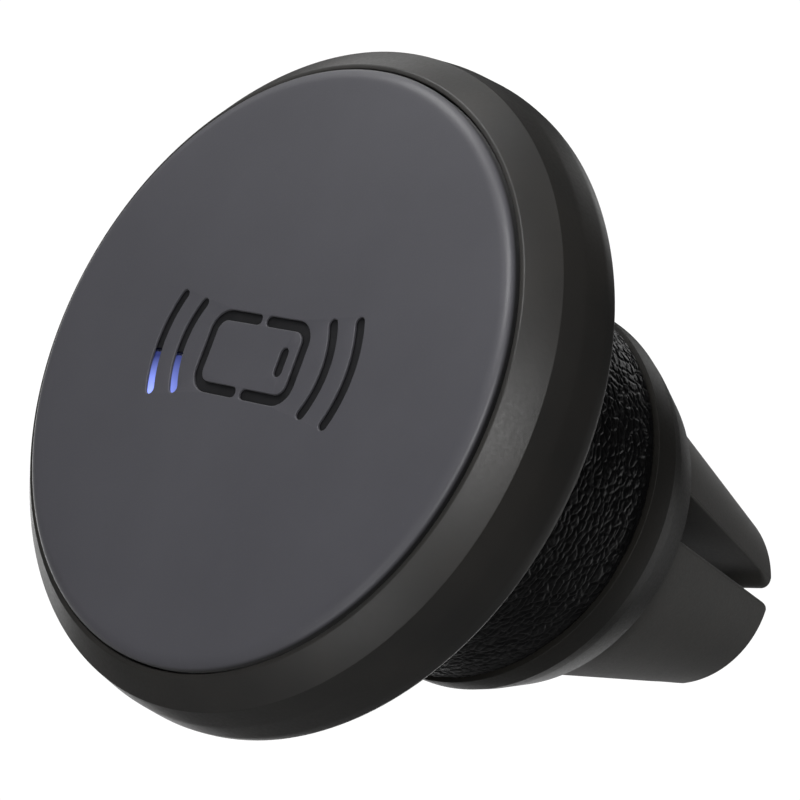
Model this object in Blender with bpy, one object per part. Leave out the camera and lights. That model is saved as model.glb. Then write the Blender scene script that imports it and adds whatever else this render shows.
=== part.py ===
"""Magnetic car phone mount for an air vent.

A round magnetic head stands on a ball joint.  A leather-wrapped collar nut
squeezes the ball socket, and a slotted rubber cone behind the collar ring
pinches one louvre of the air vent.

Frame: metres.  The origin is the centre of the phone face, +Y runs from the
phone face back along the axis to the tip of the clip, +Z is up and +X is to
the right when the phone face is looked at.
"""
import math

import bmesh
import bpy
from mathutils import Vector

MM = 0.001

# ---------------------------------------------------------------- dimensions
# All lengths in millimetres, turned into metres when the meshes are made.
GAP = 0.3                  # air between pieces that meet
RUN_GAP = 0.1              # running clearance on the ball

SEG_BIG = 48               # facets round the outer shells
SEG_MID = 28               # facets round the inner turned pieces
SEG_SMALL = 16             # facets round screws and magnets

HEAD_SPIN_DEG = 11.0       # the head is stored turned on its stem by this much

# head shell
LIP_Y = 0.5                # front edge of the bezel lip
LIP_R = 18.1               # inner edge of the bezel
BEZEL_R = 19.85            # outer edge of the conical bezel
BEZEL_Y = 1.87
SHELL_R = 20.5             # widest radius of the side wall
SHELL_ROUND = 1.2          # rounding at the rear edge
SHELL_REAR_Y = 6.1
SHELL_BORE_R = 18.7        # inside of the side wall
WEB_Y0 = 1.4               # front web of the shell
WEB_Y1 = 2.1

# phone face
PAD_R = 17.75
PAD_T = 1.0
PAD_EDGE = 0.45
EMBLEM_HALF_W = 9.3        # dark plate seen through the pierced sign
EMBLEM_HALF_H = 3.3
EMBLEM_Y0 = 0.22
EMBLEM_Y1 = 0.62
STROKE = 0.65              # width of the pierced lines
ARC_RADII = (6.0, 7.9)
ARC_HALF_ANGLES = (26.0, 22.0)
PHONE_HALF_W = 3.8
PHONE_HALF_H = 2.2
PHONE_CORNER = 1.0
BRIDGE = 1.0               # uncut bridge in the phone outline

# magnets, carrier, yoke and rear cover
MAGNET_COUNT = 6
MAGNET_R = 3.5
MAGNET_PITCH_R = 10.6
MAGNET_Y0, MAGNET_Y1 = 2.4, 4.2
CARRIER_R = 17.9
CARRIER_Y0, CARRIER_Y1 = 2.4, 4.1
YOKE_R = 17.6
YOKE_Y0, YOKE_Y1 = 4.4, 4.85
COVER_R = 18.4
COVER_Y0, COVER_Y1 = 5.05, 6.1
COVER_SCREWS = 3
COVER_SCREW_PITCH_R = 15.7
BOSS_R = 1.8
PILOT_R = 0.95

# ball joint
BALL_Y = 17.0
BALL_R = 6.0
NECK_R = 3.2
FLANGE_R = 5.5
FLANGE_Y0, FLANGE_Y1 = 6.75, 7.75
LINER_R0, LINER_R1 = BALL_R + RUN_GAP, BALL_R + 0.4
SOCKET_R0 = LINER_R1 + 0.15
SOCKET_R1 = 8.0
SOCKET_Y0, SOCKET_Y1 = 14.0, 20.9

# collar
NUT_R = 11.85
NUT_FLANGE_R = 12.6
NUT_Y0, NUT_Y1 = 12.1, 21.75
LEATHER_R0, LEATHER_R1 = 12.05, 12.8
LEATHER_Y0, LEATHER_Y1 = 13.0, 21.75
SLIP_Y0, SLIP_Y1 = 13.3, 15.9
THREAD_R = 9.6
THREAD_BORE_R = 9.95

# ring, base and clip
RING_Y0 = 22.13
RING_R = 13.03
RING_EDGE_Y, RING_EDGE_R = 23.99, 12.94
RING_MID_Y, RING_MID_R = 25.1, 12.66
RING_REAR_Y, RING_REAR_R = 27.87, 11.71
RECESS_R = 11.25
RECESS_Y = 25.0
HUB_R = 10.9
HUB_Y0, HUB_Y1 = 25.25, 26.5
PRONG_Y0 = 26.8
CONE_Y0, CONE_R0 = 27.83, 10.89
CONE_Y1, CONE_R1 = 46.85, 6.67
NOSE_EDGE = 0.28
SLOT_HALF_ROOT = 1.62      # half the slot's width where the prongs start
SLOT_HALF_TIP = 0.79       # half the slot's width at the mouth
CATCH_HALF = 0.25          # the catch at each prong's tip comes this near the slot's middle
CATCH_Y0, CATCH_Y1 = 45.75, 46.05
HINGE_Y, HINGE_R = 27.2, 9.5


# ------------------------------------------------------------------- helpers
def clear_scene():
    for ob in list(bpy.data.objects):
        bpy.data.objects.remove(ob, do_unlink=True)


def material(name, color, roughness, metallic=0.0):
    mat = bpy.data.materials.new(name)
    mat.use_nodes = True
    bsdf = mat.node_tree.nodes["Principled BSDF"]
    bsdf.inputs["Base Color"].default_value = (*color, 1.0)
    bsdf.inputs["Roughness"].default_value = roughness
    bsdf.inputs["Metallic"].default_value = metallic
    mat.diffuse_color = (*color, 1.0)
    return mat


def empty(name, location, parent=None, rotation=(0.0, 0.0, 0.0)):
    ob = bpy.data.objects.new(name, None)
    bpy.context.scene.collection.objects.link(ob)
    ob.location = Vector(location) * MM
    ob.rotation_euler = rotation
    ob.parent = parent
    return ob


def finish(name, bm, mat, parent=None, origin=(0.0, 0.0, 0.0), smooth_deg=35.0):
    """Turn a bmesh in millimetres into an object whose faces point out."""
    bmesh.ops.remove_doubles(bm, verts=bm.verts, dist=1e-4)
    bmesh.ops.recalc_face_normals(bm, faces=bm.faces)
    if bm.calc_volume(signed=True) < 0:
        bmesh.ops.reverse_faces(bm, faces=bm.faces)
    shift = Vector(origin)
    for v in bm.verts:
        v.co = (v.co - shift) * MM
    mesh = bpy.data.meshes.new(name)
    bm.to_mesh(mesh)
    bm.free()
    ob = bpy.data.objects.new(name, mesh)
    bpy.context.scene.collection.objects.link(ob)
    if mat is not None:
        mesh.materials.append(mat)
    mesh.shade_smooth()
    mesh.set_sharp_from_angle(angle=math.radians(smooth_deg))
    ob.location = shift * MM
    if parent is not None:
        ob.parent = parent
        base = parent
        total = Vector((0.0, 0.0, 0.0))
        while base is not None:
            total += base.location
            base = base.parent
        ob.location = shift * MM - total
    return ob


def turned_mesh(profile, segments, centre=(0.0, 0.0), phase=0.0):
    """Spin a closed (radius, y) outline round a line parallel to Y."""
    bm = bmesh.new()
    c, s = math.cos(phase), math.sin(phase)
    verts = [bm.verts.new((centre[0] + r * c, y, centre[1] - r * s)) for r, y in profile]
    edges = [bm.edges.new((verts[i], verts[(i + 1) % len(verts)]))
             for i in range(len(verts))
             if not (profile[i][0] < 1e-9 and profile[(i + 1) % len(verts)][0] < 1e-9)]
    bmesh.ops.spin(bm, geom=verts + edges, cent=(centre[0], 0.0, centre[1]),
                   axis=(0.0, 1.0, 0.0), dvec=(0.0, 0.0, 0.0),
                   angle=2.0 * math.pi, steps=segments, use_merge=True, use_duplicate=False)
    return bm


def turned(name, profile, segments, mat, parent=None, **kw):
    centre = kw.pop("centre", (0.0, 0.0))
    phase = kw.pop("phase", 0.0)
    return finish(name, turned_mesh(profile, segments, centre, phase), mat, parent, **kw)


def arc_points(cx, cy, radius, a0, a1, steps):
    """Points of an arc in the (radius, y) plane, angles in degrees."""
    pts = []
    for i in range(steps + 1):
        a = math.radians(a0 + (a1 - a0) * i / steps)
        pts.append((cx + radius * math.cos(a), cy + radius * math.sin(a)))
    return pts


def prism_into(bm, outline, y0, y1):
    """Extrude an (x, z) outline from y0 to y1 as a closed solid."""
    lo = [bm.verts.new((x, y0, z)) for x, z in outline]
    face = bm.faces.new(lo)
    ext = bmesh.ops.extrude_face_region(bm, geom=[face])
    moved = [g for g in ext["geom"] if isinstance(g, bmesh.types.BMVert)]
    bmesh.ops.translate(bm, verts=moved, vec=(0.0, y1 - y0, 0.0))


def prism(name, outlines, y0, y1, mat=None, parent=None, **kw):
    bm = bmesh.new()
    for outline in outlines:
        prism_into(bm, outline, y0, y1)
    return finish(name, bm, mat, parent, **kw)


def cutter(ob):
    ob.hide_render = True
    ob.display_type = "WIRE"
    return ob


def cut(ob, tool, operation="DIFFERENCE"):
    mod = ob.modifiers.new(tool.name, "BOOLEAN")
    mod.operation = operation
    mod.solver = "EXACT"
    mod.object = tool
    return mod


def polar(radius, degrees):
    a = math.radians(degrees)
    return radius * math.cos(a), radius * math.sin(a)


def disc_outline(cx, cz, radius, segments, phase=0.0):
    return [(cx + radius * math.cos(2 * math.pi * (i + phase) / segments),
             cz + radius * math.sin(2 * math.pi * (i + phase) / segments))
            for i in range(segments)]


def rounded_rect(cx, cz, hw, hh, corner, steps=4):
    pts = []
    for sx, sz, a0 in ((1, 1, 0), (-1, 1, 90), (-1, -1, 180), (1, -1, 270)):
        for i in range(steps + 1):
            a = math.radians(a0 + 90.0 * i / steps)
            pts.append((cx + sx * (hw - corner) + corner * math.cos(a),
                        cz + sz * (hh - corner) + corner * math.sin(a)))
    return pts


def stroke_outline(path, width):
    """Outline of a line of constant width with round ends along a path."""
    h = 0.5 * width
    n = len(path)
    left, right = [], []
    for i in range(n):
        p = Vector(path[i])
        a = Vector(path[max(i - 1, 0)])
        b = Vector(path[min(i + 1, n - 1)])
        t = (b - a).normalized()
        nrm = Vector((-t.y, t.x))
        left.append(p + nrm * h)
        right.append(p - nrm * h)
    out = []
    t1 = (Vector(path[-1]) - Vector(path[-2])).normalized()
    t0 = (Vector(path[0]) - Vector(path[1])).normalized()

    def cap(centre, t, start):
        pts = []
        base = math.atan2(start.y - centre.y, start.x - centre.x)
        for k in range(1, 4):
            a = base + math.pi * k / 4
            pts.append(Vector((centre.x + h * math.cos(a), centre.y + h * math.sin(a))))
        return pts

    out += right
    out += cap(Vector(path[-1]), t1, right[-1])
    out += left[::-1]
    out += cap(Vector(path[0]), t0, left[0])
    return [(p.x, p.y) for p in out]


# -------------------------------------------------------------- sign outlines
def sign_strokes():
    """A phone outline held between two pairs of field arcs."""
    strokes = []
    for radius, half in zip(ARC_RADII, ARC_HALF_ANGLES):
        for side in (0.0, 180.0):
            path = [polar(radius, side - half + 2 * half * i / 8) for i in range(9)]
            strokes.append(stroke_outline(path, STROKE))
    for side in (1, -1):
        path = [(side * 0.5 * BRIDGE, PHONE_HALF_H)]
        for i in range(5):
            a = math.radians(90 - 90 * i / 4)
            path.append((side * (PHONE_HALF_W - PHONE_CORNER + PHONE_CORNER * math.cos(a)),
                         PHONE_HALF_H - PHONE_CORNER + PHONE_CORNER * math.sin(a)))
        for i in range(5):
            a = math.radians(-90 * i / 4)
            path.append((side * (PHONE_HALF_W - PHONE_CORNER + PHONE_CORNER * math.cos(a)),
                         -PHONE_HALF_H + PHONE_CORNER + PHONE_CORNER * math.sin(a)))
        path.append((side * 0.5 * BRIDGE, -PHONE_HALF_H))
        strokes.append(stroke_outline(path, STROKE))
    strokes.append(stroke_outline([(2.5, -0.55), (2.5, 0.55)], STROKE))
    return strokes


# ---------------------------------------------------------------------- build
def build_head(spin, mats):
    screw_angles = [90.0 + 360.0 * i / COVER_SCREWS for i in range(COVER_SCREWS)]
    magnet_angles = [360.0 * i / MAGNET_COUNT for i in range(MAGNET_COUNT)]

    # soft pad with a rounded rim, pierced by the sign, relieved behind it
    profile = [(0.0, PAD_T), (0.0, 0.0)]
    profile += arc_points(PAD_R - PAD_EDGE, PAD_EDGE, PAD_EDGE, -90.0, 0.0, 3)
    profile += [(PAD_R, PAD_T)]
    pad = turned("face_pad", profile, SEG_BIG, mats["pad"], spin)
    pocket = cutter(prism("pad_pocket_cutter",
                          [rounded_rect(0, 0, EMBLEM_HALF_W + GAP, EMBLEM_HALF_H + GAP, 1.2)],
                          EMBLEM_Y0 - 0.07, PAD_T + 1.0, None, spin))
    lines = cutter(prism("pad_sign_cutter", sign_strokes(), -1.0, PAD_T + 1.0, None, spin))
    cut(pad, pocket)
    cut(pad, lines)

    # dark plate with one corner left out for the tinted window
    w, h = EMBLEM_HALF_W, EMBLEM_HALF_H
    nx, nz = -5.0, -0.45
    plate_outline = [(nx, -h), (w - 0.6, -h), (w, -h + 0.6), (w, h - 0.6), (w - 0.6, h),
                     (-w + 0.6, h), (-w, h - 0.6), (-w, nz), (nx, nz)]
    prism("emblem_plate", [plate_outline], EMBLEM_Y0, EMBLEM_Y1, mats["plate"], spin)
    g = 0.2
    window = [(nx - g, -h), (nx - g, nz - g), (-w, nz - g), (-w, -h + 0.6), (-w + 0.6, -h)]
    prism("accent_window", [window], EMBLEM_Y0, EMBLEM_Y1, mats["accent"], spin)

    # adhesive disc between pad and shell
    turned("adhesive_disc", [(0, 1.3), (0, 1.1), (17.3, 1.1), (17.3, 1.3)],
           SEG_MID, mats["adhesive"], spin)

    # shell: bezel, side wall and front web in one moulding
    rear_c = SHELL_REAR_Y - SHELL_ROUND
    profile = [(0.0, WEB_Y1), (0.0, WEB_Y0), (LIP_R - 0.05, WEB_Y0), (LIP_R - 0.05, LIP_Y + 0.12),
               (LIP_R + 0.07, LIP_Y), (LIP_R + 0.22, LIP_Y + 0.06),
               (BEZEL_R - 0.12, BEZEL_Y - 0.1), (BEZEL_R + 0.02, BEZEL_Y + 0.12)]
    profile += arc_points(SHELL_R - SHELL_ROUND, rear_c, SHELL_ROUND, -8.0, 90.0, 5)
    profile += [(SHELL_BORE_R + 0.15, SHELL_REAR_Y), (SHELL_BORE_R, SHELL_REAR_Y - 0.15),
                (SHELL_BORE_R, WEB_Y1)]
    shell = turned("head_shell", profile, SEG_BIG, mats["shell"], spin)
    bosses = [disc_outline(*polar(COVER_SCREW_PITCH_R, a), BOSS_R, 12) for a in screw_angles]
    cut(shell, cutter(prism("shell_boss_adder", bosses, WEB_Y1 - 0.35, 4.75, None, spin)), "UNION")
    pilots = [disc_outline(*polar(COVER_SCREW_PITCH_R, a), PILOT_R, 12) for a in screw_angles]
    cut(shell, cutter(prism("shell_pilot_cutter", pilots, WEB_Y1 + 0.2, 6.0, None, spin)))

    # carrier with a pocket for each magnet and a notch for each screw boss
    carrier = turned("magnet_carrier",
                     [(3.4, CARRIER_Y0), (CARRIER_R, CARRIER_Y0), (CARRIER_R, CARRIER_Y1), (3.4, CARRIER_Y1)],
                     SEG_MID, mats["carrier"], spin)
    holes = [disc_outline(*polar(MAGNET_PITCH_R, a), MAGNET_R + GAP, SEG_SMALL) for a in magnet_angles]
    holes += [disc_outline(*polar(COVER_SCREW_PITCH_R + 1.3, a), BOSS_R + GAP + 1.3, 16) for a in screw_angles]
    cut(carrier, cutter(prism("carrier_cutter", holes, CARRIER_Y0 - 1, CARRIER_Y1 + 1, None, spin)))

    for i, a in enumerate(magnet_angles):
        x, z = polar(MAGNET_PITCH_R, a)
        c = 0.2
        turned(f"magnet_{i + 1}",
               [(0, MAGNET_Y1), (0, MAGNET_Y0), (MAGNET_R - c, MAGNET_Y0), (MAGNET_R, MAGNET_Y0 + c),
                (MAGNET_R, MAGNET_Y1 - c), (MAGNET_R - c, MAGNET_Y1)],
               SEG_SMALL, mats["magnet"], spin, centre=(x, z))

    # steel plate that closes the magnets' field behind them
    yoke = turned("yoke_plate", [(1.7, YOKE_Y0), (YOKE_R, YOKE_Y0), (YOKE_R, YOKE_Y1), (1.7, YOKE_Y1)],
                  SEG_MID, mats["steel"], spin)
    notches = [disc_outline(*polar(COVER_SCREW_PITCH_R + 1.3, a), BOSS_R + GAP + 1.3, 16) for a in screw_angles]
    cut(yoke, cutter(prism("yoke_cutter", notches, YOKE_Y0 - 1, YOKE_Y1 + 1, None, spin)))

    # rear cover with a raised ring that the stem's flange turns on
    profile = [(1.7, COVER_Y0), (COVER_R - 0.1, COVER_Y0), (COVER_R, COVER_Y0 + 0.1),
               (COVER_R, COVER_Y1 - 0.25), (COVER_R - 0.25, COVER_Y1), (8.2, COVER_Y1),
               (7.6, COVER_Y1 + 0.35), (1.7, COVER_Y1 + 0.35)]
    cover = turned("rear_cover", profile, SEG_BIG, mats["cover"], spin)
    through = [disc_outline(*polar(COVER_SCREW_PITCH_R, a), 1.05, 12) for a in screw_angles]
    sinks = [disc_outline(*polar(COVER_SCREW_PITCH_R, a), 1.95, 16) for a in screw_angles]
    cut(cover, cutter(prism("cover_hole_cutter", through, COVER_Y0 - 1, COVER_Y1 + 1, None, spin)))
    cut(cover, cutter(prism("cover_sink_cutter", sinks, COVER_Y1 - 0.5, COVER_Y1 + 1, None, spin)))

    for i, a in enumerate(screw_angles):
        x, z = polar(COVER_SCREW_PITCH_R, a)
        turned(f"cover_screw_{i + 1}",
               [(0, 2.9), (0.7, 2.9), (0.7, COVER_Y1 - 0.45), (1.65, COVER_Y1 - 0.45),
                (1.65, COVER_Y1 - 0.15), (1.4, COVER_Y1), (0, COVER_Y1)],
               SEG_SMALL, mats["screw"], spin, centre=(x, z))

    # screw from inside the head into the stem
    turned("stem_screw",
           [(0, 10.6), (0, 2.75), (2.4, 2.75), (2.7, 3.05), (2.7, YOKE_Y0 - 0.15), (1.3, YOKE_Y0 - 0.15), (1.3, 10.6)],
           SEG_SMALL, mats["screw"], spin)


def build_ball_joint(tilt, pan, mats):
    shoulder = BALL_Y - 4.9
    bore_r = 1.55
    turned("ball_stem",
           [(bore_r, FLANGE_Y0), (FLANGE_R, FLANGE_Y0), (FLANGE_R, FLANGE_Y1 - 0.3),
            (FLANGE_R - 0.5, FLANGE_Y1), (NECK_R + 0.6, FLANGE_Y1 + 0.25), (NECK_R, FLANGE_Y1 + 0.9),
            (NECK_R, shoulder - GAP - 0.3), (NECK_R - 0.3, shoulder - GAP), (1.8, shoulder - GAP),
            (1.8, 15.4), (0.0, 15.4), (0.0, 11.2), (bore_r, 11.2)],
           SEG_MID, mats["steel"], tilt)
    a0 = math.degrees(math.asin(-4.9 / BALL_R))
    profile = [(0.0, BALL_Y - 1.2), (2.1, BALL_Y - 1.2), (2.1, shoulder)]
    profile += arc_points(0.0, BALL_Y, BALL_R, a0, 90.0, 9)[:-1]
    profile += [(0.0, BALL_Y + BALL_R)]
    turned("joint_ball", profile, SEG_MID, mats["ball"], tilt)

    # thin friction liner round the rear of the ball
    inner = arc_points(0.0, BALL_Y, LINER_R0, -10.0, 55.0, 6)
    outer = arc_points(0.0, BALL_Y, LINER_R1, 55.0, -10.0, 6)
    turned("ball_liner", inner + outer, SEG_MID, mats["liner"], pan)


def build_collar(collar, slip, mats):
    # ring that passes the nut's push to the socket's cone
    off = 0.3 * math.sqrt(2.0)
    turned("slip_ring",
           [(6.5, SLIP_Y0), (9.2, SLIP_Y0), (9.2, SLIP_Y1), (6.3 + off + SLIP_Y1 - SOCKET_Y0, SLIP_Y1),
            (6.5, SOCKET_Y0 + 0.2 - off)],
           SEG_MID, mats["brass"], slip)
    turned("collar_nut",
           [(7.6, NUT_Y0), (NUT_FLANGE_R - 0.35, NUT_Y0), (NUT_FLANGE_R, NUT_Y0 + 0.3),
            (NUT_FLANGE_R, NUT_Y0 + 0.6), (NUT_R, NUT_Y0 + 0.6), (NUT_R, NUT_Y1), (THREAD_BORE_R, NUT_Y1),
            (THREAD_BORE_R, 16.2), (9.5, 16.2), (9.5, 13.0), (6.7, 13.0)],
           SEG_BIG, mats["shell"], collar)
    turned("leather_sleeve",
           [(LEATHER_R0, LEATHER_Y0), (LEATHER_R1 - 0.3, LEATHER_Y0), (LEATHER_R1 - 0.08, LEATHER_Y0 + 0.5),
            (LEATHER_R1, 17.3), (LEATHER_R1 - 0.05, LEATHER_Y1 - 0.5), (LEATHER_R1 - 0.25, LEATHER_Y1),
            (LEATHER_R0, LEATHER_Y1)],
           SEG_BIG, mats["leather"], collar)


def build_base(mats):
    turned("base_ring",
           [(8.3, 16.4), (THREAD_R - 0.3, 16.4), (THREAD_R, 16.7), (THREAD_R, RING_Y0),
            (RING_R - 0.15, RING_Y0), (RING_R, RING_Y0 + 0.15), (RING_EDGE_R, RING_EDGE_Y),
            (RING_MID_R, RING_MID_Y), (RING_REAR_R, RING_REAR_Y), (RECESS_R, RING_REAR_Y),
            (RECESS_R, RECESS_Y), (1.55, RECESS_Y), (1.55, 24.85), (2.85, 23.5), (5.6, 23.5),
            (5.6, 21.95), (8.3, 21.95)],
           SEG_BIG, mats["ring"])

    inner = arc_points(0.0, BALL_Y, SOCKET_R0,
                       math.degrees(math.asin((SOCKET_Y1 - BALL_Y) / SOCKET_R0)),
                       math.degrees(math.asin((SOCKET_Y0 - BALL_Y) / SOCKET_R0)), 7)
    socket = turned("ball_socket",
                    inner + [(6.3, SOCKET_Y0), (SOCKET_R1, SOCKET_Y0 + 1.7), (SOCKET_R1, SOCKET_Y1)],
                    SEG_MID, mats["socket"])
    half = 0.4
    cross = [(half, half), (half, 12), (-half, 12), (-half, half), (-12, half), (-12, -half),
             (-half, -half), (-half, -12), (half, -12), (half, -half), (12, -half), (12, half)]
    cut(socket, cutter(prism("socket_slot_cutter", [cross], SOCKET_Y0 - 1, 19.3)))

    # dished spring washer that keeps the socket pushed forward
    turned("spring_washer",
           [(5.5, 21.2), (7.9, 21.05), (7.9, 21.55), (5.5, 21.7)], SEG_MID, mats["steel"])
    turned("hub_screw",
           [(0, 23.7), (2.45, 23.7), (1.25, 24.9), (1.25, 26.3), (0, 26.3)],
           SEG_SMALL, mats["screw"])
    turned("clip_hub",
           [(1.55, HUB_Y0), (HUB_R, HUB_Y0), (HUB_R, HUB_Y1), (1.55, HUB_Y1)],
           SEG_MID, mats["ring"])


def prong_mesh(centre_deg, steps=9):
    """A quarter of the slotted cone, lofted from sections along Y.

    The face on its clockwise side ends in a low catch that narrows the slot's mouth,
    so a louvre's edge can't slip out by itself.
    """
    def slot_half(y):
        t = (y - PRONG_Y0) / (CONE_Y1 - PRONG_Y0)
        return SLOT_HALF_ROOT + (SLOT_HALF_TIP - SLOT_HALF_ROOT) * t

    def radius(y):
        if y <= CONE_Y0:
            return CONE_R0
        return CONE_R0 + (CONE_R1 - CONE_R0) * (y - CONE_Y0) / (CONE_Y1 - CONE_Y0)

    bm = bmesh.new()
    rot = math.radians(centre_deg - 45.0)
    c, s = math.cos(rot), math.sin(rot)
    stations = [(PRONG_Y0, 0.0, False), (CONE_Y0, 0.0, False), (CATCH_Y0, 0.0, False),
                (CATCH_Y1, 0.0, True), (CONE_Y1 - NOSE_EDGE, 0.0, True), (CONE_Y1, NOSE_EDGE, True)]
    rings = []
    for y, inset, catch in stations:
        w = slot_half(y) + 0.4 * inset
        low = CATCH_HALF + 0.4 * inset if catch else w
        r = radius(y) - inset
        a0, a1 = math.asin(low / r), math.pi / 2 - math.asin(w / r)
        pts = [(w, low)]
        for i in range(steps + 1):
            a = a0 + (a1 - a0) * i / steps
            pts.append((r * math.cos(a), r * math.sin(a)))
        rings.append([bm.verts.new((x * c - z * s, y, x * s + z * c)) for x, z in pts])
    for lower, upper in zip(rings, rings[1:]):
        n = len(lower)
        for i in range(n):
            j = (i + 1) % n
            bm.faces.new((lower[i], lower[j], upper[j], upper[i]))
    bm.faces.new(rings[0][::-1])
    bm.faces.new(rings[-1])
    return bm


def build_prongs(mats):
    names = {45.0: "prong_upper_right", 135.0: "prong_upper_left",
             225.0: "prong_lower_left", 315.0: "prong_lower_right"}
    for deg, name in names.items():
        x, z = polar(HINGE_R, deg)
        finish(name, prong_mesh(deg), mats["prong"], None, origin=(x, HINGE_Y, z))


def main():
    clear_scene()
    mats = {
        "pad": material("soft_touch_pad", (0.075, 0.074, 0.08), 0.55),
        "plate": material("dark_plate", (0.012, 0.012, 0.014), 0.25),
        "accent": material("tinted_window", (0.22, 0.3, 0.85), 0.3),
        "adhesive": material("adhesive", (0.5, 0.5, 0.48), 0.6),
        "shell": material("shell_plastic", (0.04, 0.039, 0.038), 0.45),
        "cover": material("cover_plastic", (0.035, 0.034, 0.034), 0.5),
        "carrier": material("carrier_plastic", (0.06, 0.06, 0.06), 0.6),
        "magnet": material("nickel_plate", (0.62, 0.6, 0.56), 0.25, 1.0),
        "steel": material("zinc_steel", (0.5, 0.5, 0.5), 0.35, 1.0),
        "ball": material("polished_steel", (0.6, 0.6, 0.6), 0.15, 1.0),
        "screw": material("black_screw", (0.08, 0.08, 0.08), 0.35, 1.0),
        "liner": material("liner_polymer", (0.8, 0.78, 0.72), 0.6),
        "brass": material("slip_acetal", (0.55, 0.54, 0.5), 0.5),
        "socket": material("socket_acetal", (0.1, 0.1, 0.1), 0.5),
        "leather": material("leather", (0.012, 0.012, 0.013), 0.5),
        "ring": material("ring_plastic", (0.045, 0.043, 0.04), 0.45),
        "prong": material("clip_rubber", (0.045, 0.042, 0.038), 0.6),
    }
    pan = empty("ball_pan_axis", (0.0, BALL_Y, 0.0))
    tilt = empty("ball_tilt_axis", (0.0, 0.0, 0.0), pan)
    spin = empty("head_spin_axis", (0.0, 0.0, 0.0), tilt, (0.0, math.radians(HEAD_SPIN_DEG), 0.0))
    slip = empty("collar_travel_axis", (0.0, 16.0, 0.0))
    collar = empty("collar_turn_axis", (0.0, 0.0, 0.0), slip)
    build_head(spin, mats)
    build_ball_joint(tilt, pan, mats)
    build_collar(collar, slip, mats)
    build_base(mats)
    build_prongs(mats)


main()
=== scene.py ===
import math

import bmesh
import bpy
import numpy as np
from mathutils import Matrix, Vector


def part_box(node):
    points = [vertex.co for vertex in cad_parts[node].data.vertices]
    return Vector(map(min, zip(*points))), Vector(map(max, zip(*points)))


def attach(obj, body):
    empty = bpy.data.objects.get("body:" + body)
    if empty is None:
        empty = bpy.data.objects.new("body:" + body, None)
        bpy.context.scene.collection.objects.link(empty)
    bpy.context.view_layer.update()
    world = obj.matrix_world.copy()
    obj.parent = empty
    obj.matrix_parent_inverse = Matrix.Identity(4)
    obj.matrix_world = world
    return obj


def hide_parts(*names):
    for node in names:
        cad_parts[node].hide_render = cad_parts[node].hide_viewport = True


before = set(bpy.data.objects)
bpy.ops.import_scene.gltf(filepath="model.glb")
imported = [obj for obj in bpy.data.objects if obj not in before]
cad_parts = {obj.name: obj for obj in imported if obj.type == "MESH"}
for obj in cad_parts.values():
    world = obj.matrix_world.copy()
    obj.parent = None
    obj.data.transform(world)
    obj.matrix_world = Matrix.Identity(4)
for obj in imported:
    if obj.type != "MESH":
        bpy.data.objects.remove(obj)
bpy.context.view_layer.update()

MM = 0.001
FINE = 3            # steps in a small fillet
SEG = 216         # facets round the outer shells
SEG_IN = 112       # facets round the small turned pieces

bpy.context.scene.view_settings.view_transform = "Standard"
bpy.context.scene.view_settings.look = "None"

# ------------------------------------------------------------------ the camera
CAM_POS = Vector((0.083224, -0.078002, -0.034880))
CAM_RIGHT = Vector((0.761403, 0.618722, 0.193514))
CAM_UP = Vector((0.041311, -0.344206, 0.937985))
CAM_BACK = Vector((0.646961, -0.706191, -0.287640))


def make_camera():
    data = bpy.data.cameras.new("camera")
    data.lens = 95.713
    data.sensor_width = 36.0
    data.clip_start, data.clip_end = 0.002, 10.0
    ob = bpy.data.objects.new("camera", data)
    bpy.context.scene.collection.objects.link(ob)
    m = Matrix((CAM_RIGHT, CAM_UP, CAM_BACK)).transposed().to_4x4()
    m.translation = CAM_POS
    ob.matrix_world = m
    bpy.context.scene.camera = ob


# ---------------------------------------------------------------- mesh helpers
def from_bmesh(name, bm, mat, smooth=40.0, check=True):
    bmesh.ops.remove_doubles(bm, verts=bm.verts, dist=2e-5)
    bmesh.ops.recalc_face_normals(bm, faces=bm.faces)
    if bm.calc_volume(signed=True) < 0:
        bmesh.ops.reverse_faces(bm, faces=bm.faces)
    for v in bm.verts:
        v.co *= MM
    me = bpy.data.meshes.new(name)
    bm.to_mesh(me)
    bm.free()
    ob = bpy.data.objects.new(name, me)
    bpy.context.scene.collection.objects.link(ob)
    me.materials.append(mat)
    me.shade_smooth()
    if smooth:
        me.set_sharp_from_angle(angle=math.radians(smooth))
    return ob


def rounded(points, steps=None):
    """(r, y[, fillet]) corners of a closed outline, each corner rounded by its fillet."""
    steps = FINE if steps is None else steps
    n = len(points)
    out = []
    for i, p in enumerate(points):
        c = Vector((p[0], p[1]))
        f = p[2] if len(p) > 2 else 0.0
        if f <= 0:
            out.append((c.x, c.y))
            continue
        a = Vector(points[i - 1][:2]) - c
        b = Vector(points[(i + 1) % n][:2]) - c
        la, lb = a.length, b.length
        a.normalize()
        b.normalize()
        half = 0.5 * a.angle(b)
        t = min(f / math.tan(half), 0.49 * la, 0.49 * lb)
        r = t * math.tan(half)
        mid = (a + b).normalized()
        centre = c + mid * (r / math.sin(half))
        p0, p1 = c + a * t, c + b * t
        a0 = math.atan2(p0.y - centre.y, p0.x - centre.x)
        a1 = math.atan2(p1.y - centre.y, p1.x - centre.x)
        d = (a1 - a0 + math.pi) % (2 * math.pi) - math.pi
        k = max(2, int(round(steps * 2 * abs(d) / math.pi)) + 1)
        for j in range(k + 1):
            t2 = a0 + d * j / k
            out.append((centre.x + r * math.cos(t2), centre.y + r * math.sin(t2)))
    return out


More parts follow.
